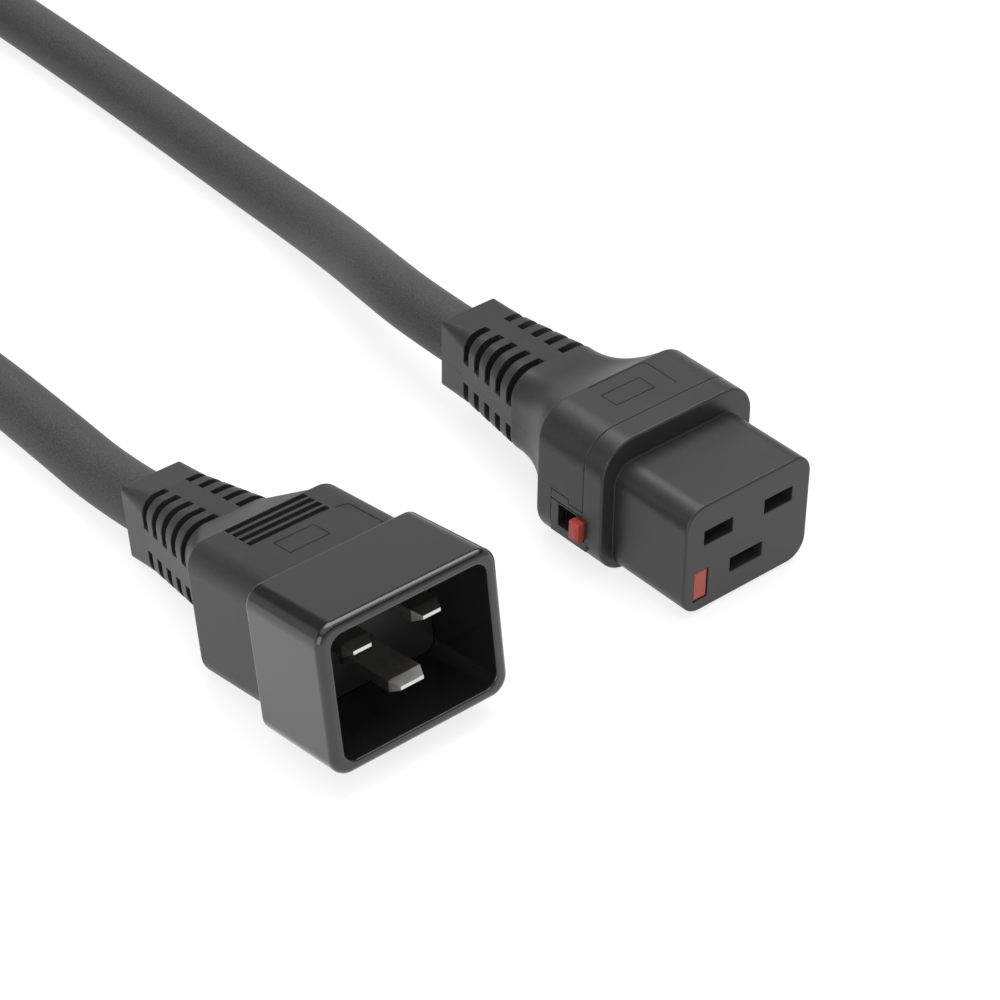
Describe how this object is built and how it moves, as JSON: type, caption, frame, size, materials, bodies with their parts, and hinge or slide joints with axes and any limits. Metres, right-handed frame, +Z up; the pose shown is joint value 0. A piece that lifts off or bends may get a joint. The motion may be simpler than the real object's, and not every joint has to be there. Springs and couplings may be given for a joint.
{
  "type": "locking C19 power connector on a lead with a C20 plug",
  "caption": "Black locking mains connector with a red release slide, on a thick coiled lead that ends in the matching shrouded inlet plug.",
  "frame": {"origin": "middle of the connector's own box in X and Y, at the underside of its hood, which rests on the ground", "axes": "+Y back along the connector to its lead, mating face towards -Y; +Z up; the red release slide is on the -X side"},
  "size_m": [0.143, 0.3755, 0.029],
  "materials": {
    "carrier_nylon": "black glass filled nylon, semi-matt moulded",
    "overmould_pvc": "black soft PVC, fine satin moulded skin",
    "shell_gloss": "black polished plastic",
    "slide_red": "red acetal, satin",
    "brass": "plain brass",
    "nickel": "nickel plated, bright",
    "spring_steel": "stainless spring steel",
    "wire_brown": "brown PVC",
    "wire_blue": "blue PVC",
    "wire_green_yellow": "green PVC with a yellow stripe",
    "cord_pvc": "dark grey PVC sheath, matt, finely speckled"
  },
  "bodies": {
    "connector": {"contact_carrier": "carrier_nylon", "carrier_back_plate": "carrier_nylon", "connector_overmould": "overmould_pvc", "slider_spring": "spring_steel", "line_contact": "brass", "neutral_contact": "brass", "earth_contact": "brass", "line_core": "wire_brown", "neutral_core": "wire_blue", "earth_core": "wire_green_yellow", "plug_shell": "shell_gloss", "plug_pin_carrier": "carrier_nylon", "plug_overmould": "overmould_pvc", "plug_line_pin": "nickel", "plug_neutral_pin": "nickel", "plug_earth_pin": "nickel", "plug_line_core": "wire_brown", "plug_neutral_core": "wire_blue", "plug_earth_core": "wire_green_yellow", "cord_connector_run": "cord_pvc", "cord_coil": "cord_pvc", "cord_plug_run": "cord_pvc"},
    "release_slide": {"release_slider": "slide_red", "lock_clip": "spring_steel"}
  },
  "joints": [
    {"name": "release", "type": "slide", "parent": "connector", "child": "release_slide", "axis": [0, 1, 0], "range_m": [0, 0.003], "stiffness_N_per_m": 300, "springref_m": -0.002}
  ]
}
